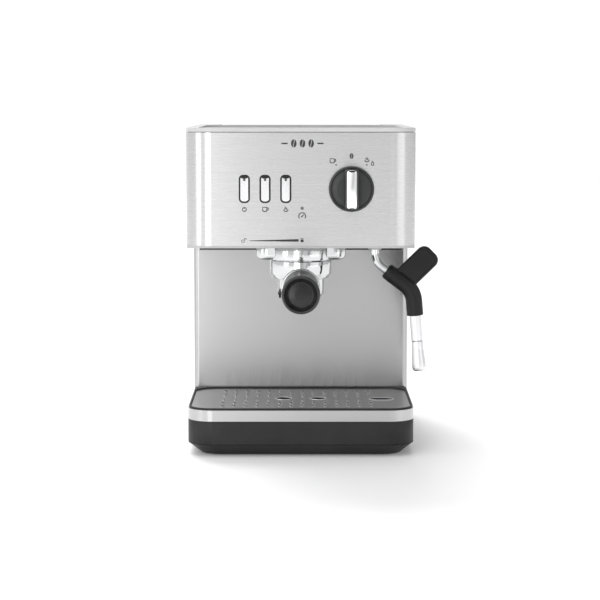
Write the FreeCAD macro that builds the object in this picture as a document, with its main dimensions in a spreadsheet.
import FreeCAD, Part
import math
import os
import sys

import Sketcher
from FreeCAD import Placement, Rotation, Vector

# Pump espresso machine, built as a parametric document and written out as one STEP file per piece.
#
# Millimetres, +Z up, the front faces -Y. The machine is drawn about the middle of its own base, then every
# piece is placed by machine_x and machine_y, so that the origin is at the middle of the whole footprint, with
# the filter holder's handle and the steam wand counted in.

DIMENSIONS = {
    # the whole machine, and where it stands from the origin
    "machine_x": -11.4, "machine_y": 34.8,
    "width": 225, "depth": 290, "corner": 25, "steel": 1.2, "wall": 2.6, "shell": 3,
    # low platform and feet
    "platform_base": 1, "platform_top": 12, "platform_inset": 12,
    "foot_radius": 9, "foot_tall": 4.5, "foot_x": 82, "foot_y": 112, "base_screw_x": 50,
    "recess_wide": 128, "recess_deep": 236, "recess_high": 5.5,
    "chassis_wide": 216, "chassis_deep": 66, "chassis_tall": 180, "chassis_front": 4,
    # drip tray module
    "tray_wide": 224, "tray_back": 0.2, "tray_floor": 12.4, "tray_top": 48.4, "tray_rim": 3.4,
    "basin_floor": 16, "grid_thick": 1.2, "grid_drop": 1.4, "grid_margin": 2.6, "band_low": 35.5,
    "band_top": 46.4,
    "slot_wide": 2.4, "slot_long": 8, "slot_pitch": 11.4, "slot_first": -78, "slot_columns": 14,
    "drain_radius": 7.5, "drain_x": 17.5, "finger_x": 82, "finger_wide": 23, "finger_deep": 13,
    # column behind the tray
    "column_front": 1, "column_top": 195, "steel_back": 72,
    # head
    "head_low": 208.5, "head_high": 318.4, "shadow_gap": 0.9, "rim_top": 323, "underside_lip": 2.2,
    # front panel controls
    "control_z": 264, "button_pitch": 20.1, "button_middle": -34.7, "button_wide": 8.4, "button_tall": 25,
    "button_round": 3.4, "button_travel": 2.5, "lamp_x": 1.3, "lamp_z": 245.2, "lens_up": 8.8, "bezel": 0.95,
    "knob_x": 49.1, "knob_radius": 22, "knob_deep": 9, "bar_wide": 12.6, "bar_long": 40, "bar_deep": 19,
    "insert_wide": 9.6, "insert_long": 37.6, "stem_radius": 3,
    # group head and boiler
    "group_y": -71, "collar_low": 190, "collar_radius": 32, "lobe_wide": 90, "lobe_deep": 36,
    "collar_bore": 27.9, "ear_channel": 30.6, "boss_radius": 30.2, "bracket_thick": 2,
    "boiler_radius": 38, "boiler_flange": 45, "boiler_split": 233, "boiler_high": 262, "bolt_circle": 41.5,
    # filter holder, built about the group's axis
    "cup_radius": 31, "cup_low": 171, "cup_high": 189.2, "neck_radius": 27.6, "ear_radius": 30.2,
    "rim_z": 199.2, "cup_bore": 25.8, "basket_radius": 24.6, "basket_low": 179, "basket_wall": 0.8,
    "body_radius": 23.3, "body_low": 152, "spout_x": 8, "spout_low": 141, "spout_radius": 4.6,
    "handle_z": 164.3, "handle_start": 45, "handle_long": 102, "handle_tilt": 2.0, "ferrule_radius": 19.3,
    "lever_x": 19.7, "lever_y": 31, "lever_z": 158,
    "grip_root": 17.4, "grip_waist": 15.4, "grip_end": 18.4, "stud_radius": 4,
    # steam wand, in a plane parallel to the front
    "wand_x": 73.5, "wand_y": -105, "tube_radius": 4, "wand_high": 213, "bend_z": 190,
    "knee_x": 112, "knee_z": 161, "nozzle_x": 118.8, "nozzle_z": 80.5, "sleeve_radius": 5.7,
    "grip_radius": 8.3, "paddle_wide": 24, "paddle_thick": 9, "paddle_long": 41, "paddle_angle": 44.4,
    "paddle_x": 102, "paddle_z": 171.4,
    # water tank at the back
    "tank_wide": 170, "tank_front": 84, "tank_back": 137, "tank_low": 118, "tank_high": 315,
    "bay_wide": 176, "bay_front": 81, "bay_floor": 106, "tank_wall": 2.2, "outlet_y": 112,
    "hinge_y": 139.8, "hinge_z": 315, "lid_high": 322.4,
    "bay_window_wide": 60, "bay_window_tall": 30, "bay_window_z": 285, "gland_x": 70, "gland_z": 22,
    # pump, in the column
    "pump_y": 38, "pump_z": 70, "hose_radius": 3.2,
}

doc = FreeCAD.newDocument("espresso_machine")
sheet = doc.addObject("Spreadsheet::Sheet", "dims")
for row, (alias, size) in enumerate(DIMENSIONS.items(), start=1):
    sheet.set(f"A{row}", alias)
    sheet.set(f"B{row}", str(size))
    sheet.setAlias(f"B{row}", alias)
doc.recompute()

parts = []


# ---------------------------------------------------------------- helpers

def number(expression):
    """The value of an expression on the sheet's cells, in millimetres."""
    return float(sheet.evalExpression(str(expression)))


def cell(alias):
    """One driving dimension, for shapes that are made in code."""
    return number(f"dims.{alias}")


def bind(thing, **expressions):
    for name, expression in expressions.items():
        thing.setExpression(name, str(expression))


def place(thing, x="0", y="0", z="0", turn=None, about=None):
    """Puts a finished piece in the machine. turn is an expression in degrees about the axis about."""
    if turn is not None:
        thing.Placement = Placement(Vector(), Rotation(Vector(*about), number(turn)))
        thing.setExpression("Placement.Rotation.Angle", f"({turn}) * 1 deg")
    thing.setExpression("Placement.Base.x", f"dims.machine_x + ({x})")
    thing.setExpression("Placement.Base.y", f"dims.machine_y + ({y})")
    thing.setExpression("Placement.Base.z", str(z))
    return thing


def keep(thing, label, **where):
    """Labels a finished piece, places it and lists it for export."""
    thing.Label = label
    place(thing, **where)
    parts.append(thing)
    return thing


def new_body(name):
    return doc.addObject("PartDesign::Body", name)


def plane_of(body, role):
    return next(f for f in body.Origin.OriginFeatures if f.Role == role)


def sketch(body, plane="XY_Plane", offset="0"):
    """An empty sketch on one of the body's own planes: XY, XZ (gives x and z) or YZ (gives y and z)."""
    made = body.newObject("Sketcher::SketchObject", f"{body.Name}_sketch")
    made.AttachmentSupport = [(plane_of(body, plane), "")]
    made.MapMode = "FlatFace"
    made.setExpression("AttachmentOffset.Base.z", str(offset))
    return made


def hold(made, kind, where, geometry, point, expression):
    """Ties one coordinate of a sketch point to an expression."""
    index = made.addConstraint(Sketcher.Constraint(kind, -1, 1, geometry, point, where))
    made.setExpression(f"Constraints[{index}]", str(expression))


def outline(made, *points):
    """A closed outline of straight lines through points, each a pair of expressions."""
    places = [(number(x), number(y)) for x, y in points]
    first = made.GeometryCount
    count = len(points)
    for i, (x, y) in enumerate(places):
        far = places[(i + 1) % count]
        made.addGeometry(Part.LineSegment(Vector(x, y, 0), Vector(far[0], far[1], 0)))
    for i in range(count):
        made.addConstraint(Sketcher.Constraint("Coincident", first + i, 2, first + (i + 1) % count, 1))
    for i, (x, y) in enumerate(points):
        hold(made, "DistanceX", places[i][0], first + i, 1, x)
        hold(made, "DistanceY", places[i][1], first + i, 1, y)
    return made


def rounded(made, wide, deep, radius, x="0", y="0"):
    """A rectangle with round corners, centred on x, y."""
    half_x, half_y, r = number(wide) / 2, number(deep) / 2, number(radius)
    cx, cy = number(x), number(y)
    first = made.GeometryCount
    quarter = math.pi / 2
    corners = [(1, 1, 0), (-1, 1, 1), (-1, -1, 2), (1, -1, 3)]
    for sx, sy, turn in corners:
        middle = Vector(cx + sx * (half_x - r), cy + sy * (half_y - r), 0)
        ring = Part.Circle(middle, Vector(0, 0, 1), r)
        made.addGeometry(Part.ArcOfCircle(ring, turn * quarter, (turn + 1) * quarter))
    for i in range(4):
        end = made.getPoint(first + i, 2)
        start = made.getPoint(first + (i + 1) % 4, 1)
        made.addGeometry(Part.LineSegment(end, start))
    for i in range(4):
        made.addConstraint(Sketcher.Constraint("Tangent", first + i, 2, first + 4 + i, 1))
        made.addConstraint(Sketcher.Constraint("Tangent", first + 4 + i, 2, first + (i + 1) % 4, 1))
    index = made.addConstraint(Sketcher.Constraint("Radius", first, r))
    made.setExpression(f"Constraints[{index}]", str(radius))
    for i in range(1, 4):
        made.addConstraint(Sketcher.Constraint("Equal", first, first + i))
    for i, (sx, sy, _) in enumerate(corners):
        to_x = f"({x}) + {sx} * (({wide}) / 2 - ({radius}))"
        to_y = f"({y}) + {sy} * (({deep}) / 2 - ({radius}))"
        hold(made, "DistanceX", number(to_x), first + i, 3, to_x)
        hold(made, "DistanceY", number(to_y), first + i, 3, to_y)
    return made


def disc(made, radius, x="0", y="0"):
    """A circle centred on x, y."""
    index = made.GeometryCount
    made.addGeometry(Part.Circle(Vector(number(x), number(y), 0), Vector(0, 0, 1), number(radius)))
    ring = made.addConstraint(Sketcher.Constraint("Radius", index, number(radius)))
    made.setExpression(f"Constraints[{ring}]", str(radius))
    hold(made, "DistanceX", number(x), index, 3, x)
    hold(made, "DistanceY", number(y), index, 3, y)
    return made


def feature(body, kind, profile, **expressions):
    made = body.newObject(f"PartDesign::{kind}", f"{body.Name}_{kind}")
    made.Profile = profile
    bind(made, **expressions)
    return made


def pad(body, profile, length, back=False):
    made = feature(body, "Pad", profile, Length=length)
    made.Reversed = back
    doc.recompute()
    return made


def pocket(body, profile, length, back=False, middle=False):
    """Cuts the profile: against the sketch's normal, along it if back, or both ways if middle."""
    before = body.Shape.Volume
    made = feature(body, "Pocket", profile, Length=length)
    made.Reversed = back
    if middle:
        made.SideType = "Symmetric"
    doc.recompute()
    if not body.Shape.Volume < before - 0.01:
        sys.exit(f"{made.Name} in {body.Name} cuts nothing")
    return made


def turned(body, profile, cut=False):
    """Revolves the profile about the sketch's own upright axis."""
    made = body.newObject(f"PartDesign::{'Groove' if cut else 'Revolution'}", f"{body.Name}_turned")
    made.Profile = profile
    made.ReferenceAxis = (profile, ["V_Axis"])
    made.Angle = 360
    doc.recompute()
    return made


def edges_where(shape, test):
    return [f"Edge{i}" for i, edge in enumerate(shape.Edges, start=1) if test(edge)]


def upright(edge):
    return abs(edge.tangentAt(edge.FirstParameter).z) > 0.99 and len(edge.Vertexes) == 2


def level(edge, z, slack=0.01):
    return edge.BoundBox.ZLength < slack and abs(edge.BoundBox.ZMax - z) < slack


def round_off(body, radius, test):
    """Fillets the edges of the body's last feature that pass the test."""
    tip = body.Tip
    made = body.newObject("PartDesign::Fillet", f"{body.Name}_Fillet")
    made.Base = (tip, edges_where(tip.Shape, test))
    bind(made, Radius=radius)
    doc.recompute()
    return made


def bevel(body, size, test):
    tip = body.Tip
    made = body.newObject("PartDesign::Chamfer", f"{body.Name}_Chamfer")
    made.Base = (tip, edges_where(tip.Shape, test))
    bind(made, Size=size)
    doc.recompute()
    return made


def hollow(body, thickness, open_faces):
    """Turns a solid into a shell, open at the faces that pass the test."""
    tip = body.Tip
    made = body.newObject("PartDesign::Thickness", f"{body.Name}_Thickness")
    made.Base = (tip, [f"Face{i}" for i, face in enumerate(tip.Shape.Faces, start=1) if open_faces(face)])
    made.Reversed = True
    bind(made, Value=thickness)
    doc.recompute()
    return made


def turned_body(name, *points):
    """A body of one revolved profile, whose points are pairs of expressions for radius and height."""
    body = new_body(name)
    turned(body, outline(sketch(body, "XZ_Plane"), *points))
    return body


def block(name, x, y, z, low_x="0", low_y="0", low_z="0"):
    """A Part box, sized and placed by expressions."""
    made = doc.addObject("Part::Box", name)
    bind(made, Length=x, Width=y, Height=z)
    for axis, low in zip("xyz", (low_x, low_y, low_z)):
        made.setExpression(f"Placement.Base.{axis}", str(low))
    return made


def rod(name, radius, length, x="0", y="0", z="0", along="Z"):
    """A Part cylinder from x, y, z along an axis."""
    made = doc.addObject("Part::Cylinder", name)
    bind(made, Radius=radius, Height=length)
    turns = {"Z": Rotation(), "X": Rotation(Vector(0, 1, 0), 90), "Y": Rotation(Vector(1, 0, 0), -90)}
    made.Placement = Placement(Vector(), turns[along])
    for axis, where in zip("xyz", (x, y, z)):
        made.setExpression(f"Placement.Base.{axis}", str(where))
    return made


def joined(name, *pieces):
    made = doc.addObject("Part::MultiFuse", name)
    made.Shapes = list(pieces)
    made.Refine = True
    doc.recompute()
    return made


def minus(name, base, *tools):
    cutter = tools[0] if len(tools) == 1 else joined(f"{name}_tools", *tools)
    made = doc.addObject("Part::Cut", name)
    made.Base = base
    made.Tool = cutter
    doc.recompute()
    return made


def together(name, *pieces):
    """Separate solids that share one node."""
    made = doc.addObject("Part::Compound", name)
    made.Links = list(pieces)
    doc.recompute()
    return made


def shaped(name, shape):
    made = doc.addObject("Part::Feature", name)
    made.Shape = shape
    return made


def bent_path(points, bend):
    """A wire of straight runs joined by tangent arcs of radius bend."""
    spots = [Vector(*p) for p in points]
    edges = []
    last = spots[0]
    for before, corner, after in zip(spots, spots[1:], spots[2:]):
        into = (corner - before).normalize()
        out = (after - corner).normalize()
        half_turn = into.getAngle(out) / 2
        reach = bend * math.tan(half_turn)
        start = corner - into * reach
        end = corner + out * reach
        inward = (out - into).normalize()
        middle = corner + inward * (bend / math.cos(half_turn) - bend)
        edges.append(Part.LineSegment(last, start).toShape())
        edges.append(Part.Arc(start, middle, end).toShape())
        last = end
    edges.append(Part.LineSegment(last, spots[-1]).toShape())
    return Part.Wire(edges)


def bar_along(path, radius):
    """A round bar swept along a wire."""
    first = path.Edges[0]
    start = first.valueAt(first.FirstParameter)
    ring = Part.Wire(Part.Circle(start, first.tangentAt(first.FirstParameter), radius).toShape())
    made = path.makePipeShell([ring], True, False, 0)
    wanted = math.pi * radius ** 2 * path.Length
    if abs(made.Volume - wanted) > 0.01 * wanted:
        sys.exit(f"a swept bar has volume {made.Volume:.0f} and not {wanted:.0f}")
    return made


def tube_along(path, radius, bore):
    return bar_along(path, radius).cut(bar_along(path, bore))


# ---------------------------------------------------------------- platform, feet, chassis

HALF_DEPTH = "dims.depth / 2"

CORNERS = ((1, 1), (1, -1), (-1, 1), (-1, -1))
BASE_SCREWS = [(f"{side} * dims.base_screw_x", y) for side in (1, -1) for y in ("20", "58")]

platform = new_body("platform")
loft = platform.newObject("PartDesign::AdditiveLoft", "platform_loft")
loft.Profile = rounded(sketch(platform, offset="dims.platform_base"),
                       "dims.width - 1 - 2 * dims.platform_inset",
                       "dims.depth - 2 * dims.platform_inset", "dims.corner - 4")
loft.Sections = [rounded(sketch(platform, offset="dims.platform_top"), "dims.width - 1", "dims.depth",
                         "dims.corner")]
doc.recompute()
recess = rounded(sketch(platform, offset="dims.platform_base"), "dims.recess_wide", "dims.recess_deep", "8")
pocket(platform, recess, "dims.recess_high", back=True)
feet_seats = sketch(platform, offset="dims.platform_base")
for side_x, side_y in CORNERS:
    disc(feet_seats, "dims.foot_radius", f"{side_x} * dims.foot_x", f"{side_y} * dims.foot_y")
pocket(platform, feet_seats, "dims.foot_tall - dims.platform_base", back=True)
screw_holes = sketch(platform, offset="dims.platform_base")
for x, y in BASE_SCREWS:
    disc(screw_holes, "2", x, y)
pocket(platform, screw_holes, "30", back=True)
keep(platform, "base_platform")

feet = [
    rod(f"foot_{i}", "dims.foot_radius", "dims.foot_tall", f"{sx} * dims.foot_x", f"{sy} * dims.foot_y")
    for i, (sx, sy) in enumerate(CORNERS)
]
keep(together("feet", *feet), "rubber_feet")

screws = [
    joined(f"screw_{i}", rod(f"screw_head_{i}", "3.6", "2", x, y, "dims.platform_base + 3.5"),
           rod(f"screw_shank_{i}", "1.6", "14", x, y, "dims.platform_base + dims.recess_high"))
    for i, (x, y) in enumerate(BASE_SCREWS)
]
keep(together("screws", *screws), "base_screws")

CHASSIS_EDGE = "dims.chassis_wide / 2"
bosses = [rod(f"boss_{i}", "4.5", "12", x, y, "dims.platform_top") for i, (x, y) in enumerate(BASE_SCREWS)]
ribs = [
    block(f"chassis_rib_{i}", "dims.wall", "dims.chassis_deep - 6", "dims.chassis_tall", low_x,
          "dims.chassis_front", "dims.platform_top")
    for i, low_x in enumerate((f"-{CHASSIS_EDGE}", f"{CHASSIS_EDGE} - dims.wall"))
]
CHASSIS_START = (f"-{CHASSIS_EDGE}", "dims.chassis_front", "dims.platform_top")
chassis_floor = block("chassis_floor", "dims.chassis_wide", "dims.chassis_deep", "dims.wall", *CHASSIS_START)
chassis_wall = block("chassis_wall", "dims.chassis_wide", "dims.wall", "dims.chassis_tall", *CHASSIS_START)
shank_bores = [rod(f"shank_bore_{i}", "1.65", "20", x, y, "dims.platform_top - 1")
               for i, (x, y) in enumerate(BASE_SCREWS)]
chassis_solid = joined("chassis_solid", chassis_floor, chassis_wall, *ribs, *bosses)
keep(minus("chassis", chassis_solid, *shank_bores), "chassis_frame")

# ---------------------------------------------------------------- drip tray, its steel band and its grid

TRAY_DEEP = "dims.depth / 2 - dims.tray_back"
TRAY_FRONT = "-dims.depth / 2"


def wrap_section(made, wide, front, radius):
    """A rounded rectangle that starts at front and runs 60 past the tray's back, to be cut off there."""
    deep = f"-({front}) + 60"
    return rounded(made, wide, deep, radius, y=f"({front}) + ({deep}) / 2")


def cut_behind(body, y, low, high):
    """Removes everything of the body behind y."""
    behind = outline(sketch(body, offset=low), ("-150", y), ("150", y), ("150", "200"), ("-150", "200"))
    return pocket(body, behind, f"({high}) - ({low})", back=True)


tray = new_body("tray")
tray_outline = wrap_section(sketch(tray, offset="dims.tray_floor"), "dims.tray_wide", TRAY_FRONT,
                            "dims.corner")
pad(tray, tray_outline, "dims.tray_top - dims.tray_floor")
cut_behind(tray, "-dims.tray_back", "dims.tray_floor - 1", "dims.tray_top + 1")
step = sketch(tray, offset="dims.band_low")
outline(step, ("-160", "-160"), ("160", "-160"), ("160", "90"), ("-160", "90"))
wrap_section(step, "dims.tray_wide - 2", f"{TRAY_FRONT} + 1", "dims.corner - 1")
pocket(tray, step, "30", back=True)
ledge = rounded(sketch(tray, offset="dims.tray_top"), "dims.tray_wide - 2 * dims.grid_margin",
                f"{TRAY_DEEP} - 2 * dims.grid_margin", "dims.corner - dims.grid_margin", y="-dims.depth / 4")
pocket(tray, ledge, "dims.grid_drop + dims.grid_thick + 0.3")
basin = rounded(sketch(tray, offset="dims.tray_top"), "dims.tray_wide - 4 * dims.tray_rim",
                f"{TRAY_DEEP} - 4 * dims.tray_rim", "dims.corner - 2 * dims.tray_rim", y="-dims.depth / 4")
pocket(tray, basin, "dims.tray_top - dims.basin_floor")
keep(tray, "drip_tray")

band = new_body("band")
band_outline = wrap_section(sketch(band, offset="dims.band_low"), "dims.tray_wide", TRAY_FRONT, "dims.corner")
pad(band, band_outline, "dims.band_top - dims.band_low")
band_inside = wrap_section(sketch(band, offset="dims.band_low"), "dims.tray_wide - 2", f"{TRAY_FRONT} + 1",
                           "dims.corner - 1")
pocket(band, band_inside, "30", back=True)
cut_behind(band, "-dims.tray_back", "dims.band_low - 1", "dims.band_top + 1")
keep(band, "tray_band")

grid = new_body("grid")
grid_outline = rounded(sketch(grid, offset="dims.tray_top - dims.grid_drop - dims.grid_thick"),
                       "dims.tray_wide - 2 * dims.grid_margin - 0.8",
                       f"{TRAY_DEEP} - 2 * dims.grid_margin - 0.8", "dims.corner - dims.grid_margin - 0.4",
                       y="-dims.depth / 4")
pad(grid, grid_outline, "dims.grid_thick")
drains = sketch(grid, offset="dims.tray_top")
disc(drains, "dims.drain_radius", "dims.drain_x", "dims.group_y")
disc(drains, "dims.drain_radius", "-dims.drain_x", "dims.group_y")
rounded(drains, "dims.finger_wide", "dims.finger_deep", "dims.finger_deep / 2 - 0.1", "dims.finger_x",
        "dims.group_y - 4")
pocket(grid, drains, "5")
slots = sketch(grid, offset="dims.tray_top")
for slot_y in ("-22", "-44", "-98", "-119"):
    rounded(slots, "dims.slot_wide", "dims.slot_long", "dims.slot_wide / 2 - 0.1", "dims.slot_first",
            slot_y)
slot_cut = pocket(grid, slots, "5")
slot_row = grid.newObject("PartDesign::LinearPattern", "grid_slots")
slot_row.Originals = [slot_cut]
slot_row.Direction = (slots, ["H_Axis"])
bind(slot_row, Length="dims.slot_pitch * (dims.slot_columns - 1)")
slot_row.Occurrences = int(cell("slot_columns"))
grid.Tip = slot_row
doc.recompute()
keep(grid, "tray_grid")

# ---------------------------------------------------------------- steel skins

column = new_body("column")
column_section = outline(sketch(column, offset="dims.platform_top + 0.3"),
                         ("-dims.width / 2", "dims.column_front"), ("dims.width / 2", "dims.column_front"),
                         ("dims.width / 2", "dims.steel_back"), ("-dims.width / 2", "dims.steel_back"))
pad(column, column_section, "dims.column_top - dims.platform_top - 0.3")
round_off(column, "5", lambda e: upright(e) and e.BoundBox.YMax < cell("column_front") + 0.1)
hollow(column, "dims.steel", lambda f: abs(f.normalAt(0, 0).z) > 0.9 or f.normalAt(0, 0).y > 0.9)
keep(column, "column_panel")

head = new_body("head")
head_section = outline(sketch(head, offset="dims.head_low"),
                       ("-dims.width / 2", "-dims.depth / 2"), ("dims.width / 2", "-dims.depth / 2"),
                       ("dims.width / 2", "dims.steel_back"), ("-dims.width / 2", "dims.steel_back"))
pad(head, head_section, "dims.head_high - dims.head_low")
round_off(head, "dims.corner", lambda e: upright(e) and e.BoundBox.YMax < 0)
hollow(head, "dims.steel", lambda f: abs(f.normalAt(0, 0).z) > 0.9 or f.normalAt(0, 0).y > 0.9)
windows = sketch(head, "XZ_Plane", "dims.depth / 2 + 5")
BUTTONS = {"power": -1, "brew": 0, "steam": 1}
for place_in_row in BUTTONS.values():
    rounded(windows, "dims.button_wide + 0.6 + 2 * dims.bezel", "dims.button_tall + 0.6 + 2 * dims.bezel",
            "dims.button_round + dims.bezel", f"dims.button_middle + {place_in_row} * dims.button_pitch",
            "dims.control_z")
disc(windows, "4.5", "dims.knob_x", "dims.control_z")
disc(windows, "1.6", "dims.lamp_x", "dims.lamp_z")
pocket(head, windows, "12")
keep(head, "head_panel")

# ---------------------------------------------------------------- underside of the head

underside = new_body("underside")
side_view = outline(sketch(underside, "YZ_Plane", "-dims.width / 2 + 0.3"),
                    ("-dims.depth / 2 + 0.3", "dims.head_low - dims.underside_lip"),
                    ("dims.column_front", "dims.column_top"), ("dims.steel_back", "dims.column_top"),
                    ("dims.steel_back", "dims.head_low"), ("-dims.depth / 2 + 0.3", "dims.head_low"))
pad(underside, side_view, "dims.width - 0.6")
round_off(underside, "dims.corner - 0.3", lambda e: upright(e) and e.BoundBox.YMax < -100)
hollow_view = outline(sketch(underside, "YZ_Plane"), ("-88", "dims.head_low + 1"),
                      ("-88", "dims.head_low - 1.6"), ("-4", "dims.column_top + 4"),
                      ("-4", "dims.head_low + 1"))
pocket(underside, hollow_view, "dims.width - 14", middle=True)
shaft = rounded(sketch(underside, offset="dims.head_low + 1"), "dims.width - 14", "60", "4", y="37")
pocket(underside, shaft, "20")
group_hole = sketch(underside, offset="dims.head_low + 1")
disc(group_hole, "dims.collar_radius + 0.6", y="dims.group_y")
pocket(underside, group_hole, "20")
lobe_hole = rounded(sketch(underside, offset="dims.head_low + 1"), "dims.lobe_wide + 1.2",
                    "dims.lobe_deep + 1.2", "12.6", y="dims.group_y")
pocket(underside, lobe_hole, "20")
wand_hole = disc(sketch(underside, offset="dims.head_low + 1"), "7", "dims.wand_x", "dims.wand_y")
pocket(underside, wand_hole, "20")
keep(underside, "head_underside")

bracket = new_body("bracket")
bracket_outline = rounded(sketch(bracket, offset="dims.head_low"), "212", "176", "6", y="-28")
pad(bracket, bracket_outline, "dims.bracket_thick")
openings = sketch(bracket, offset="dims.head_low + 5")
disc(openings, "dims.boss_radius + 0.1", y="dims.group_y")
disc(openings, "7", "dims.wand_x", "dims.wand_y")
rounded(openings, "190", "70", "6", y="16")
pocket(bracket, openings, "8")
keep(bracket, "head_bracket")

# ---------------------------------------------------------------- black back and the tank bay above it

def back_block(name, low, high):
    """A solid of the back's outline in plan, square towards the steel and round at its outer corners."""
    body = new_body(name)
    section = outline(sketch(body, offset=low), ("-dims.width / 2", "dims.steel_back"),
                      ("dims.width / 2", "dims.steel_back"), ("dims.width / 2", HALF_DEPTH),
                      ("-dims.width / 2", HALF_DEPTH))
    pad(body, section, f"{high} - ({low})")
    round_off(body, "dims.corner", lambda e: upright(e) and e.BoundBox.YMin > 140)
    return body


rear = back_block("rear", "dims.platform_top + 0.3", "dims.bay_floor")
rear_room = rounded(sketch(rear, offset="dims.platform_top"), "dims.width - 2 * dims.shell",
                    f"{HALF_DEPTH} - dims.shell - 30", "dims.corner - dims.shell",
                    y=f"({HALF_DEPTH} - dims.shell + 30) / 2")
pocket(rear, rear_room, "dims.bay_floor - dims.shell - dims.platform_top", back=True)
outlet_hole = disc(sketch(rear, offset="dims.bay_floor + 1"), "9", y="dims.outlet_y")
pocket(rear, outlet_hole, "12")
slot_edges = ("dims.gland_x - 6", "dims.gland_x + 6")
gland_slot = outline(sketch(rear, "XZ_Plane", f"-{HALF_DEPTH} - 1"),
                     *((x, "dims.platform_top") for x in slot_edges),
                     *((x, "dims.gland_z + 6") for x in reversed(slot_edges)))
pocket(rear, gland_slot, "8", back=True)
keep(rear, "rear_housing")

BAY_EDGE = "dims.bay_wide / 2"
bay_walls = back_block("bay_walls", "dims.bay_floor", "dims.head_high")
bay = outline(sketch(bay_walls, offset="dims.head_high"), (f"-{BAY_EDGE}", "dims.bay_front"),
              (BAY_EDGE, "dims.bay_front"), (BAY_EDGE, "200"), (f"-{BAY_EDGE}", "200"))
pocket(bay_walls, bay, "dims.head_high - dims.bay_floor")
BAY_WALL_BACK = "dims.bay_front - dims.wall"
front_recess = outline(sketch(bay_walls, offset="dims.head_high"), (f"-{BAY_EDGE}", "60"), (BAY_EDGE, "60"),
                       (BAY_EDGE, BAY_WALL_BACK), (f"-{BAY_EDGE}", BAY_WALL_BACK))
pocket(bay_walls, front_recess, "dims.head_high - dims.bay_floor")
for side in (1, -1):
    inner = f"{side} * ({BAY_EDGE} + dims.shell)"
    outer = f"{side} * (dims.width / 2 - dims.shell)"
    bend_x = f"{side} * (dims.width / 2 - dims.corner + (dims.corner - dims.shell) * cos(45))"
    bend_y = f"{HALF_DEPTH} - dims.corner + (dims.corner - dims.shell) * sin(45)"
    channel = outline(sketch(bay_walls, offset="dims.head_high"), (inner, "60"), (outer, "60"),
                      (outer, f"{HALF_DEPTH} - dims.corner"), (bend_x, bend_y),
                      (inner, f"{HALF_DEPTH} - dims.shell - 0.5"))
    pocket(bay_walls, channel, "dims.head_high - dims.bay_floor")
window = rounded(sketch(bay_walls, "XZ_Plane", "-dims.steel_back"), "dims.bay_window_wide",
                 "dims.bay_window_tall", "4", y="dims.bay_window_z")
pocket(bay_walls, window, "12")
keep(bay_walls, "tank_bay")

gland = turned_body("gland", ("3.2", "0"), ("3.2", "10.4"), ("5.4", "10.4"), ("6.2", "8.6"), ("8.7", "8.6"),
                    ("9.3", "8"), ("9.3", "6.5"), ("5.9", "6.5"), ("5.9", "0"))
keep(gland, "cable_inlet", x="dims.gland_x", y="dims.depth / 2 - 6.4", z="dims.gland_z", turn="-90",
     about=(1, 0, 0))

# ---------------------------------------------------------------- top frame and cup plate

top = new_body("top")
neck_outline = rounded(sketch(top, offset="dims.head_high"), "dims.width - 4", "dims.depth - 4",
                       "dims.corner - 2")
pad(top, neck_outline, "dims.shadow_gap")
rim_outline = rounded(sketch(top, offset="dims.head_high + dims.shadow_gap"), "dims.width", "dims.depth",
                      "dims.corner")
pad(top, rim_outline, "dims.rim_top - dims.head_high - dims.shadow_gap")
round_off(top, "1.4", lambda e: level(e, cell("rim_top")) and e.BoundBox.YMax < 146)
plate_seat = rounded(sketch(top, offset="dims.rim_top"), "202", "196", "16", y="-34")
pocket(top, plate_seat, "2.8")
plate_opening = rounded(sketch(top, offset="dims.rim_top"), "190", "184", "12", y="-34")
pocket(top, plate_opening, "10")
tank_opening = outline(sketch(top, offset="dims.rim_top"), ("-dims.bay_wide / 2", "dims.bay_front"),
                       ("dims.bay_wide / 2", "dims.bay_front"), ("dims.bay_wide / 2", "200"),
                       ("-dims.bay_wide / 2", "200"))
pocket(top, tank_opening, "10")
keep(top, "top_frame")

warm = new_body("warm")
pad(warm, rounded(sketch(warm, offset="dims.rim_top - 2.8"), "201.4", "195.4", "15.7", y="-34"), "1")
holes = sketch(warm, offset="dims.rim_top")
for i in range(7):
    disc(holes, "2", "-66", f"-97 + {i} * 21")
hole_cut = pocket(warm, holes, "5")
hole_rows = warm.newObject("PartDesign::LinearPattern", "warm_holes")
hole_rows.Originals = [hole_cut]
hole_rows.Direction = (holes, ["H_Axis"])
hole_rows.Length = 132
hole_rows.Occurrences = 7
warm.Tip = hole_rows
doc.recompute()
keep(warm, "cup_plate")

# ---------------------------------------------------------------- front controls

BUTTON_BACK = "dims.depth / 2 - 8.8"


def button_x(place_in_row):
    return f"dims.button_middle + {place_in_row} * dims.button_pitch"


surround = new_body("surround")
back_plate = rounded(sketch(surround, "XZ_Plane", "dims.depth / 2 - 3.4"), "62", "38", "3",
                     "dims.button_middle", "dims.control_z")
pad(surround, back_plate, "2.1")
frames = sketch(surround, "XZ_Plane", "dims.depth / 2 - 2")
for place_in_row in BUTTONS.values():
    rounded(frames, "dims.button_wide + 0.4 + 2 * dims.bezel", "dims.button_tall + 0.4 + 2 * dims.bezel",
            "dims.button_round + dims.bezel - 0.1", button_x(place_in_row), "dims.control_z")
pad(surround, frames, "2.4")
clear = sketch(surround, "XZ_Plane", "dims.depth / 2 + 2")
for place_in_row in BUTTONS.values():
    rounded(clear, "dims.button_wide + 0.7", "dims.button_tall + 0.7", "dims.button_round + 0.3",
            button_x(place_in_row), "dims.control_z")
pocket(surround, clear, "10")
keep(surround, "button_surround")

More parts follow.
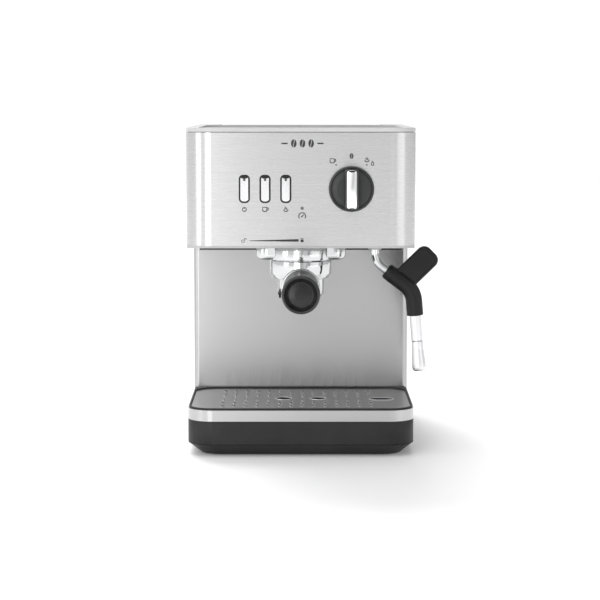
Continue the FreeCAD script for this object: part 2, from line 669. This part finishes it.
for name, place_in_row in BUTTONS.items():
    cap = new_body(f"cap_{name}")
    face = rounded(sketch(cap, "XZ_Plane", "dims.depth / 2 - 4.6"), "dims.button_wide", "dims.button_tall",
                   "dims.button_round")
    pad(cap, face, "5.2")
    bevel(cap, "0.5", lambda e: e.BoundBox.YMax < -cell("depth") / 2 - 0.5)
    stem = rounded(sketch(cap, "XZ_Plane", BUTTON_BACK), "5", "8", "1")
    pad(cap, stem, "4.3")
    pocket(cap, disc(sketch(cap, "XZ_Plane", "dims.depth / 2 + 2"), "1.3", y="dims.lens_up"), "5")
    keep(cap, f"button_{name}", x=button_x(place_in_row), z="dims.control_z")
    lens = rod(f"lens_{name}", "1.28", "2.8", along="Y")
    keep(lens, f"button_{name}_lens", x=button_x(place_in_row), y="-dims.depth / 2 - 0.7",
         z="dims.control_z + dims.lens_up")

lamp = rod("lamp", "1.5", "5", along="Y")
keep(lamp, "ready_lamp", x="dims.lamp_x", y="-dims.depth / 2 - 0.4", z="dims.lamp_z")

switches = [
    block(f"switch_{name}", "7", "6.3", "19", f"{button_x(i)} - 3.5", "-dims.depth / 2 + 11.6",
          "dims.control_z - 9.5")
    for name, i in BUTTONS.items()
]
board = block("board", "66", "1.6", "44", "dims.button_middle - 33", "-dims.depth / 2 + 17.9",
              "dims.control_z - 22")
keep(together("board_with_switches", board, *switches), "switch_board")

knob = turned_body("knob", ("dims.stem_radius + 0.05", "0.4"), ("dims.knob_radius", "0.4"),
                   ("dims.knob_radius", "3.6"), ("dims.knob_radius - 1", "4.4"),
                   ("dims.knob_radius - 1.6", "dims.knob_deep - 1"),
                   ("dims.knob_radius - 2.8", "dims.knob_deep"),
                   ("dims.stem_radius + 0.05", "dims.knob_deep"))
bar = rounded(sketch(knob, offset="dims.knob_deep - 3"), "dims.bar_wide", "dims.bar_long", "3")
pad(knob, bar, "dims.bar_deep - dims.knob_deep + 3")
round_off(knob, "1.5", lambda e: level(e, cell("bar_deep")))
insert_seat = rounded(sketch(knob, offset="dims.bar_deep"), "dims.insert_wide", "dims.insert_long", "2")
pocket(knob, insert_seat, "1.2")
pocket(knob, disc(sketch(knob, offset="0"), "dims.stem_radius + 0.05"), "12.1", back=True)
keep(knob, "knob", x="dims.knob_x", y="-dims.depth / 2", z="dims.control_z", turn="90", about=(1, 0, 0))
insert = new_body("insert")
pad(insert, rounded(sketch(insert, offset="dims.bar_deep - 1.2"), "dims.insert_wide - 0.1",
                    "dims.insert_long - 0.1", "1.95"), "1.6")
round_off(insert, "0.5", lambda e: level(e, cell("bar_deep") + 0.4))
keep(insert, "knob_bar", x="dims.knob_x", y="-dims.depth / 2", z="dims.control_z", turn="90", about=(1, 0, 0))
stem = rod("stem", "dims.stem_radius", "44", along="Y")
keep(stem, "valve_stem", x="dims.knob_x", y="-dims.depth / 2 - 12", z="dims.control_z")

valve_solid = joined("valve_solid", block("valve_block", "24", "28", "24", "-12", "23", "-12"),
                     rod("valve_outlet", "3.4", "10", y="37", z="-21"),
                     rod("valve_inlet", "3.4", "8", y="50", along="Y"))
valve = minus("valve", valve_solid, rod("valve_bore", "dims.stem_radius + 0.1", "12", y="22", along="Y"))
keep(valve, "steam_valve", x="dims.knob_x", y="-dims.depth / 2", z="dims.control_z")

# ---------------------------------------------------------------- group head and boiler

collar = new_body("collar")
pad(collar, disc(sketch(collar, offset="dims.collar_low"), "dims.collar_radius"),
    "dims.head_low - dims.collar_low")
round_off(collar, "0.8", lambda e: level(e, cell("collar_low")))
lobes = new_body("lobes")
pad(lobes, rounded(sketch(lobes, offset="dims.collar_low"), "dims.lobe_wide", "dims.lobe_deep", "12"),
    "dims.head_low - dims.collar_low")
round_off(lobes, "5", lambda e: level(e, cell("collar_low")))
bayonet = turned_body(
    "bayonet", ("0", "dims.collar_low - 2"), ("dims.collar_bore", "dims.collar_low - 2"),
    ("dims.collar_bore", "dims.collar_low + 2.8"), ("dims.ear_channel", "dims.collar_low + 2.8"),
    ("dims.ear_channel", "dims.collar_low + 7.6"), ("dims.collar_bore", "dims.collar_low + 7.6"),
    ("dims.collar_bore", "dims.collar_low + 13"), ("dims.boss_radius + 0.1", "dims.collar_low + 13"),
    ("dims.boss_radius + 0.1", "dims.head_low + 2"), ("0", "dims.head_low + 2"))
# the two gaps in the lip that let the ears in, half a turn apart and 50 degrees from the locked place
entry = doc.addObject("Part::Cylinder", "entry")
bind(entry, Radius="dims.ear_channel", Height="5")
entry.Angle = 26
entry.Placement = Placement(Vector(0, 0, 188.5), Rotation(Vector(0, 0, 1), -63))
entry_back = doc.addObject("Part::Cylinder", "entry_back")
bind(entry_back, Radius="dims.ear_channel", Height="5")
entry_back.Angle = 26
entry_back.Placement = Placement(Vector(0, 0, 188.5), Rotation(Vector(0, 0, 1), 117))
group_collar = minus("group_collar", joined("collar_solid", collar, lobes), bayonet, entry, entry_back)
keep(group_collar, "group_collar", y="dims.group_y")

gasket = turned_body("gasket", ("22.4", "200.4"), ("27.7", "200.4"), ("27.7", "204.6"), ("22.4", "204.6"))
keep(gasket, "group_gasket", y="dims.group_y")
screen_points = (("2.2", "203"), ("21", "203"), ("21.8", "204.8"), ("2.2", "204.8"))
screen = turned_body("screen", *screen_points)
screen_holes = sketch(screen, offset="206")
for ring, count in (("8", 6), ("14", 12), ("18", 18)):
    for i in range(count):
        turn = 360 / count * i
        disc(screen_holes, "0.7", f"{ring} * cos({turn})", f"{ring} * sin({turn})")
pocket(screen, screen_holes, "5")
keep(screen, "shower_screen", y="dims.group_y")
BOSS_LOW = "204.8"
lower_boiler = turned_body(
    "lower_boiler", ("2.15", BOSS_LOW), ("dims.boss_radius", BOSS_LOW),
    ("dims.boss_radius", "dims.head_low + dims.bracket_thick"),
    ("dims.boiler_flange", "dims.head_low + dims.bracket_thick"), ("dims.boiler_flange", "dims.head_low + 7"),
    ("dims.boiler_radius", "dims.head_low + 7"), ("dims.boiler_radius", "dims.boiler_split - 4"),
    ("dims.boiler_flange", "dims.boiler_split - 4"), ("dims.boiler_flange", "dims.boiler_split"),
    ("30", "dims.boiler_split"), ("30", "220"), ("2.15", "220"))
upper_boiler = turned_body(
    "upper_boiler", ("0", "dims.boiler_high"), ("dims.boiler_radius - 6", "dims.boiler_high"),
    ("dims.boiler_radius", "dims.boiler_high - 6"), ("dims.boiler_radius", "dims.boiler_split + 4"),
    ("dims.boiler_flange", "dims.boiler_split + 4"), ("dims.boiler_flange", "dims.boiler_split"),
    ("30", "dims.boiler_split"), ("30", "dims.boiler_high - 8"), ("0", "dims.boiler_high - 8"))
for half, low in ((lower_boiler, "dims.boiler_split - 6"), (upper_boiler, "dims.boiler_split - 2")):
    bolt_holes = sketch(half, offset=low)
    for turn in (45, 135, 225, 315):
        disc(bolt_holes, "1.8", f"dims.bolt_circle * cos({turn})", f"dims.bolt_circle * sin({turn})")
    pocket(half, bolt_holes, "10", back=True)
keep(lower_boiler, "boiler_lower", y="dims.group_y")
keep(upper_boiler, "boiler_upper", y="dims.group_y")
bolts = []
for turn in (45, 135, 225, 315):
    at = {"x": f"dims.bolt_circle * cos({turn})", "y": f"dims.bolt_circle * sin({turn})"}
    head = rod(f"bolt_head_{turn}", "3.2", "3", z="dims.boiler_split + 4", **at)
    shank = rod(f"bolt_shank_{turn}", "1.75", "9", z="dims.boiler_split - 5", **at)
    bolts.append(joined(f"bolt_{turn}", head, shank))
shower_bolt = joined("shower_bolt", rod("shower_head", "4", "1.6", z="201.4"),
                     rod("shower_shank", "2.1", "12", z="203"))
keep(together("screws_of_the_group", *bolts, shower_bolt), "group_screws", y="dims.group_y")
discs = [joined(f"thermostat_{i}", rod(f"thermostat_can_{i}", "7.5", "5", x, "8", "dims.boiler_high"),
                rod(f"thermostat_top_{i}", "4", "5", x, "8", "dims.boiler_high + 4"))
         for i, x in enumerate(("-14", "4"))]
keep(together("thermostat_pair", *discs), "thermostats", y="dims.group_y")

# ---------------------------------------------------------------- filter holder, basket, spouts and handle

holder = turned_body(
    "holder", ("0", "158"), ("20", "158"), ("20", "dims.cup_low + 4"), ("dims.cup_bore", "dims.cup_low + 4"),
    ("dims.cup_bore", "dims.rim_z"), ("dims.neck_radius", "dims.rim_z"),
    ("dims.neck_radius", "dims.cup_high"), ("dims.cup_radius - 0.8", "dims.cup_high"),
    ("dims.cup_radius", "dims.cup_high - 0.8"),
    ("dims.cup_radius", "dims.cup_low + 5"), ("dims.cup_radius - 2.8", "dims.cup_low"),
    ("dims.body_radius", "dims.cup_low"), ("dims.body_radius", "dims.body_low + 3"),
    ("dims.body_radius - 3", "dims.body_low"), ("0", "dims.body_low"))
outlets = sketch(holder, offset="dims.body_low - 1")
for side in (1, -1):
    disc(outlets, "2.6", f"{side} * dims.spout_x")
pocket(holder, outlets, "9", back=True)
neck = rod("neck", "14", "dims.handle_start - 24", y="-dims.handle_start + 4", z="dims.handle_z - 1",
           along="Y")
ears = []
for i, turn in enumerate((-10, 170)):
    ear = doc.addObject("Part::Cylinder", f"ear_{i}")
    bind(ear, Radius="dims.ear_radius", Height="4")
    ear.Angle = 20
    ear.Placement = Placement(Vector(), Rotation(Vector(0, 0, 1), turn))
    ear.setExpression("Placement.Base.z", "dims.collar_low + 3.1")
    ears.append(ear)
ear_ring = minus("ear_ring", joined("ear_pair", *ears), rod("ear_core", "dims.neck_radius - 0.5", "12",
                                                            z="dims.collar_low + 1"))
stud_bore = rod("stud_bore", "dims.stud_radius + 0.02", "18")
stud_bore.Placement = Placement(Vector(), Rotation(Vector(1, 0, 0), 90 - cell("handle_tilt")))
bind(stud_bore, **{"Placement.Base.y": "-dims.handle_start + 12 * cos(dims.handle_tilt)",
                   "Placement.Base.z": "dims.handle_z - 12 * sin(dims.handle_tilt)"})
basket_room = turned_body("basket_room", ("0", "158"), ("20", "158"), ("20", "dims.cup_low + 4"),
                          ("dims.cup_bore", "dims.cup_low + 4"), ("dims.cup_bore", "dims.rim_z + 5"),
                          ("0", "dims.rim_z + 5"))
lever_bore = rod("lever_bore", "1.66", "10", "-dims.lever_x", "-dims.lever_y", "dims.lever_z", along="X")
filter_holder = minus("filter_holder", joined("holder_solid", holder, neck, ear_ring), basket_room, stud_bore,
                      lever_bore)
keep(filter_holder, "filter_holder", y="dims.group_y")

basket = turned_body(
    "basket", ("0", "dims.basket_low"), ("dims.basket_radius - 2", "dims.basket_low"),
    ("dims.basket_radius", "dims.basket_low + 2"), ("dims.basket_radius", "dims.rim_z"),
    ("dims.neck_radius - 0.4", "dims.rim_z"), ("dims.neck_radius - 0.4", "dims.rim_z + 0.9"),
    ("dims.basket_radius - dims.basket_wall", "dims.rim_z + 0.9"),
    ("dims.basket_radius - dims.basket_wall", "dims.basket_low + 2.4"),
    ("dims.basket_radius - 2.4", "dims.basket_low + dims.basket_wall"),
    ("0", "dims.basket_low + dims.basket_wall"))
basket_holes = sketch(basket, offset="dims.basket_low + 3")
for ring, count in (("6", 6), ("12", 12), ("17.5", 18)):
    for i in range(count):
        turn = 360 / count * i
        disc(basket_holes, "0.6", f"{ring} * cos({turn})", f"{ring} * sin({turn})")
pocket(basket, basket_holes, "5")
keep(basket, "filter_basket", y="dims.group_y")
spring = doc.addObject("Part::Torus", "spring")
bind(spring, Radius1="25.2", Radius2="0.45")
keep(spring, "basket_spring", y="dims.group_y", z="188")

spout_solid = joined("spout_solid", block("spout_bar", "27", "14", "5", "-13.5", "-7", "dims.body_low - 5"),
                     *[rod(f"spout_{i}", "dims.spout_radius", "dims.body_low - dims.spout_low - 2",
                           f"{side} * dims.spout_x", z="dims.spout_low") for i, side in enumerate((1, -1))])
spout_bores = [rod(f"spout_bore_{i}", "3", "30", f"{side} * dims.spout_x", z="dims.spout_low - 1")
               for i, side in enumerate((1, -1))]
keep(minus("spouts", spout_solid, *spout_bores), "spout_block", y="dims.group_y")

ALONG_HANDLE = {"y": "dims.group_y - dims.handle_start", "z": "dims.handle_z",
                "turn": "90 - dims.handle_tilt", "about": (1, 0, 0)}
ferrule = turned_body("ferrule", ("dims.stud_radius + 0.05", "-11"), ("dims.ferrule_radius - 3", "-11"),
                      ("dims.ferrule_radius", "-8"), ("dims.ferrule_radius", "-0.8"),
                      ("dims.ferrule_radius - 0.8", "0"), ("dims.stud_radius + 0.05", "0"))
ferrule_seat = rod("ferrule_seat", "14.9", "17.8", y="-0.6", z="-21.2")
keep(minus("handle_ring", ferrule, ferrule_seat), "handle_ferrule", **ALONG_HANDLE)
grip = turned_body("grip", ("dims.stud_radius + 0.05", "0.1"), ("dims.grip_root - 1", "0.1"),
                   ("dims.grip_root", "1.5"), ("dims.grip_waist", "dims.handle_long * 0.45"),
                   ("dims.grip_end", "dims.handle_long - 9"), ("dims.grip_end", "dims.handle_long - 3"),
                   ("dims.grip_end - 3", "dims.handle_long"), ("13", "dims.handle_long"),
                   ("13", "dims.handle_long - 6"), ("dims.stud_radius + 0.05", "dims.handle_long - 6"))
keep(grip, "handle_grip", **ALONG_HANDLE)
end_cap = turned_body("end_cap", ("0", "dims.handle_long - 5.8"), ("12.9", "dims.handle_long - 5.8"),
                      ("12.9", "dims.handle_long - 1.4"), ("11.6", "dims.handle_long - 1.6"),
                      ("8", "dims.handle_long - 3"), ("0", "dims.handle_long - 3.6"))
keep(end_cap, "handle_cap", **ALONG_HANDLE)
stud = turned_body("stud", ("0", "-10"), ("dims.stud_radius", "-10"),
                   ("dims.stud_radius", "dims.handle_long - 6.2"), ("0", "dims.handle_long - 6.2"))
keep(stud, "handle_stud", **ALONG_HANDLE)

lever_arm = new_body("lever_arm")
arm_view = outline(sketch(lever_arm, "YZ_Plane"), ("4", "-4"), ("4", "4"), ("-4", "4"), ("-22", "2.6"),
                   ("-26", "1.6"), ("-26", "-1.2"), ("-22", "-2.4"), ("-4", "-4"))
pad(lever_arm, arm_view, "2", back=True)
lever = joined("lever_solid", lever_arm, rod("lever_pin", "1.6", "10", "-3", along="X"))
keep(lever, "filter_lever", x="-dims.lever_x", y="dims.group_y - dims.lever_y", z="dims.lever_z")

# ---------------------------------------------------------------- steam wand

wand_x, wand_y = cell("wand_x"), cell("wand_y")
knee = (cell("knee_x"), wand_y, cell("knee_z"))
tip_end = (cell("nozzle_x"), wand_y, cell("nozzle_z"))
lean = math.degrees(math.atan2(tip_end[0] - knee[0], knee[2] - tip_end[2]))
down = Vector(tip_end[0] - knee[0], 0, tip_end[2] - knee[2]).normalize()


def on_shank(distance_up):
    """A point on the wand's straight lower run, measured up from the nozzle's mouth."""
    return Vector(*tip_end) - down * distance_up


NOZZLE_LONG = 30
SLEEVE_LONG = 26
TUBE_END = 9
wand_corners = [(wand_x, wand_y, cell("wand_high")), (wand_x, wand_y, cell("bend_z")), knee]
tube_path = bent_path([*wand_corners, tuple(on_shank(TUBE_END))], 18)
keep(shaped("tube", tube_along(tube_path, cell("tube_radius"), 2.6)), "steam_tube")

GRIP_OUT = 11.5
fall = (cell("bend_z") - knee[2]) / (knee[0] - wand_x)
grip_start = Vector(wand_x + GRIP_OUT, wand_y, cell("bend_z") - GRIP_OUT * fall)
grip_path = bent_path([tuple(grip_start), knee, tuple(on_shank(NOZZLE_LONG + SLEEVE_LONG))], 18)
full_tube = bent_path([*wand_corners, tuple(on_shank(0))], 18)
paddle = Part.makeBox(cell("paddle_long") + 4, cell("paddle_thick"), cell("paddle_wide"),
                      Vector(-4, -cell("paddle_thick") / 2, -cell("paddle_wide") / 2))
paddle_corners = [e for e in paddle.Edges if e.BoundBox.YLength > 8 and e.BoundBox.XMin > 30]
paddle = paddle.makeFillet(8, paddle_corners)
paddle.Placement = Placement(Vector(cell("paddle_x"), wand_y, cell("paddle_z")),
                             Rotation(Vector(0, 1, 0), -cell("paddle_angle")))
grip_solid = bar_along(grip_path, cell("grip_radius")).fuse(paddle).removeSplitter()
keep(shaped("wand_handle", grip_solid.cut(bar_along(full_tube, cell("tube_radius") + 0.05))), "wand_grip")

WAND_FOOT = {"x": "dims.nozzle_x", "y": "dims.wand_y", "z": "dims.nozzle_z", "turn": str(-lean),
             "about": (0, 1, 0)}
sleeve = turned_body("sleeve", ("dims.tube_radius + 0.05", NOZZLE_LONG + 0.5),
                     ("dims.sleeve_radius", NOZZLE_LONG + 0.5),
                     ("dims.sleeve_radius", NOZZLE_LONG + SLEEVE_LONG - 0.2),
                     ("dims.tube_radius + 0.05", NOZZLE_LONG + SLEEVE_LONG - 0.2))
keep(sleeve, "frother_sleeve", **WAND_FOOT)
nozzle = turned_body("nozzle", ("dims.tube_radius + 0.3", "7"), ("dims.tube_radius + 0.3", NOZZLE_LONG),
                     ("dims.sleeve_radius", NOZZLE_LONG), ("dims.sleeve_radius", "22"),
                     ("dims.sleeve_radius + 1.3", "6"), ("dims.sleeve_radius + 1.3", "1.5"),
                     ("dims.sleeve_radius", "0"), ("1.5", "0"), ("1.5", "7"))
keep(nozzle, "frother_nozzle", **WAND_FOOT)

socket = turned_body("socket", ("dims.tube_radius + 0.08", "202.2"), ("6.3", "202.2"), ("6.8", "202.8"),
                     ("6.8", "210.6"), ("12", "210.6"), ("12", "213.5"), ("8", "213.5"), ("8", "220"),
                     ("2", "220"), ("2", "213.5"), ("dims.tube_radius + 0.08", "213.5"))
keep(socket, "wand_socket", x="dims.wand_x", y="dims.wand_y")

# ---------------------------------------------------------------- water tank and its lid

tank = new_body("tank")
TANK_MIDDLE = "(dims.tank_front + dims.tank_back) / 2"
tank_outline = rounded(sketch(tank, offset="dims.tank_low"), "dims.tank_wide",
                       "dims.tank_back - dims.tank_front", "10", y=TANK_MIDDLE)
pad(tank, tank_outline, "dims.tank_high - dims.tank_low")
tank_room = rounded(sketch(tank, offset="dims.tank_high"), "dims.tank_wide - 2 * dims.tank_wall",
                    "dims.tank_back - dims.tank_front - 2 * dims.tank_wall", "10 - dims.tank_wall",
                    y=TANK_MIDDLE)
pocket(tank, tank_room, "dims.tank_high - dims.tank_low - 3")
pad(tank, disc(sketch(tank, offset="dims.tank_low"), "7", y="dims.outlet_y"), "9", back=True)
pocket(tank, disc(sketch(tank, offset="dims.tank_low - 12"), "4", y="dims.outlet_y"), "20", back=True)


def knuckle(name, low_x, wide, radius="2.2"):
    return rod(name, radius, wide, low_x, "dims.hinge_y", "dims.hinge_z", along="X")


tank_knuckles = []
for i, low_x in enumerate(("-64", "50")):
    tank_knuckles.append(knuckle(f"tank_knuckle_{i}", low_x, "14"))
    tank_knuckles.append(block(f"tank_web_{i}", "14", "dims.hinge_y - dims.tank_back + 1.6", "5", low_x,
                               "dims.tank_back - 1.5", "dims.hinge_z - 6.5"))
pin_bores = [knuckle(f"pin_bore_{i}", low_x, "40", "1.0") for i, low_x in enumerate(("-66", "26"))]
water_tank = minus("tank_with_hinge", joined("tank_solid", tank, *tank_knuckles), *pin_bores)
keep(water_tank, "water_tank")
pins = [knuckle(f"pin_{i}", low_x, "30", "1.0") for i, low_x in enumerate(("-63.8", "33.8"))]
keep(together("pins", *pins), "lid_pins")

lid = new_body("lid")
LID_LOW = "dims.tank_high + 0.4"
lid_outline = rounded(sketch(lid, offset=LID_LOW), "dims.tank_wide + 2",
                      "dims.tank_back - dims.tank_front + 1.6", "9", y=f"{TANK_MIDDLE} - 0.6")
pad(lid, lid_outline, f"dims.lid_high - ({LID_LOW})")
round_off(lid, "1.2", lambda e: level(e, cell("lid_high")))
lid_room = rounded(sketch(lid, offset=LID_LOW), "dims.tank_wide - 3",
                   "dims.tank_back - dims.tank_front - 3.4", "7", y=f"{TANK_MIDDLE} - 0.6")
pocket(lid, lid_room, "4.6", back=True)
finger = rounded(sketch(lid, offset="dims.lid_high"), "34", "16", "7", y="dims.tank_front - 2")
pocket(lid, finger, "1.6")
lid_knuckles = []
for i, low_x in enumerate(("-49.6", "33.6")):
    lid_knuckles.append(knuckle(f"lid_knuckle_{i}", low_x, "16"))
    lid_knuckles.append(block(f"lid_web_{i}", "16", "4.4", "4", low_x, "dims.hinge_y - 4.4",
                              "dims.hinge_z + 0.4"))
lid_bores = [knuckle(f"lid_bore_{i}", low_x, "20", "1.06") for i, low_x in enumerate(("-51", "31"))]
keep(minus("lid_with_hinge", joined("lid_solid", lid, *lid_knuckles), *lid_bores), "tank_lid")

valve_rod = turned_body("valve_rod", ("0", "108"), ("2", "108"), ("2", "121"), ("6.5", "121"),
                        ("6.5", "123.5"), ("0", "123.5"))
keep(valve_rod, "tank_valve", y="dims.outlet_y")
seat = turned_body("seat", ("3", "92"), ("5", "92"), ("5", "99.8"), ("13", "99.8"), ("13", "102.7"),
                   ("8.9", "102.7"), ("8.9", "106.2"), ("13", "106.2"), ("13", "117.7"), ("7.4", "117.7"),
                   ("7.4", "104"), ("3", "104"))
keep(seat, "tank_socket", y="dims.outlet_y")

# ---------------------------------------------------------------- pump and hoses

pump_core = joined("pump_core_solid", rod("pump_tube", "9", "70", "-35", along="X"),
                   rod("pump_inlet", "3.3", "16", "-49", along="X"),
                   rod("pump_outlet", "3.3", "16", "33", along="X"),
                   rod("pump_collar", "12", "7", "24", along="X"))
keep(pump_core, "pump_core", y="dims.pump_y", z="dims.pump_z")
coil = minus("coil_solid", block("coil_block", "42", "38", "38", "-22", "-19", "-19"),
             rod("coil_bore", "9.1", "60", "-30", along="X"))
keep(coil, "pump_coil", y="dims.pump_y", z="dims.pump_z")
FLOOR_BELOW_PUMP = "dims.pump_z - dims.platform_top - dims.wall"
mounts = []
for i, (low_x, wide) in enumerate((("-32", "8"), ("32.5", "2.4"))):
    mount_foot = block(f"mount_foot_{i}", wide, "30", f"{FLOOR_BELOW_PUMP} - 4", low_x, "-15",
                       f"-({FLOOR_BELOW_PUMP})")
    mount_ring = rod(f"mount_ring_{i}", "15", wide, low_x, along="X")
    mount_bore = rod(f"mount_bore_{i}", "9.05", "20", f"{low_x} - 5", along="X")
    mounts.append(minus(f"mount_{i}", joined(f"mount_solid_{i}", mount_foot, mount_ring), mount_bore))
keep(together("mount_pair", *mounts), "pump_mounts", y="dims.pump_y", z="dims.pump_z")

pump_y, pump_z = cell("pump_y"), cell("pump_z")
group_y, outlet_y, top_z = cell("group_y"), cell("outlet_y"), cell("boiler_high")
hose = cell("hose_radius")
suction = bent_path([(0, outlet_y, 91.8), (0, outlet_y, 68), (-74, 84, 68), (-74, pump_y, pump_z),
                     (-49.3, pump_y, pump_z)], 10)
pressure = bent_path([(49.3, pump_y, pump_z), (84, pump_y, pump_z), (84, pump_y, 290), (22, group_y, 290),
                      (22, group_y, top_z + 0.2)], 12)
keep(shaped("hoses", Part.makeCompound([tube_along(suction, hose, 1.8), tube_along(pressure, hose, 1.8)])),
     "water_hoses")
knob_x, knob_z = cell("knob_x"), cell("control_z")
front = -cell("depth") / 2
feed = bent_path([(26, group_y + 16, top_z + 0.2), (26, group_y + 16, 280), (knob_x, group_y + 16, 280),
                  (knob_x, group_y + 16, knob_z), (knob_x, front + 58.2, knob_z)], 6)
drop = bent_path([(knob_x, front + 37, knob_z - 21.2), (knob_x, front + 37, 229), (wand_x, wand_y, 229),
                  (wand_x, wand_y, 220.2)], 5)
keep(shaped("pipes", Part.makeCompound([bar_along(feed, 2.2), bar_along(drop, 2.2)])), "steam_pipes")

# ---------------------------------------------------------------- check and export

doc.recompute()
faulty = [thing.Name for thing in doc.Objects if {"Invalid", "Error"} & set(thing.State)]
if faulty:
    sys.exit(f"these objects failed: {faulty}")
for piece in parts:
    if piece.Shape.isNull() or not piece.Shape.isValid() or not piece.Shape.Solids:
        sys.exit(f"{piece.Label} has no valid shape")
labels = [piece.Label for piece in parts]
if len(set(labels)) != len(labels):
    sys.exit("two pieces share a label")

os.makedirs("parts", exist_ok=True)
for old in os.listdir("parts"):
    os.remove(os.path.join("parts", old))
for piece in parts:
    piece.Shape.exportStep(os.path.join("parts", f"{piece.Label}.step"))
whole = Part.makeCompound([piece.Shape for piece in parts]).BoundBox
print(f"{len(parts)} pieces; x {whole.XMin:.1f} to {whole.XMax:.1f}, y {whole.YMin:.1f} to {whole.YMax:.1f}, "
      f"z {whole.ZMin:.1f} to {whole.ZMax:.1f}")
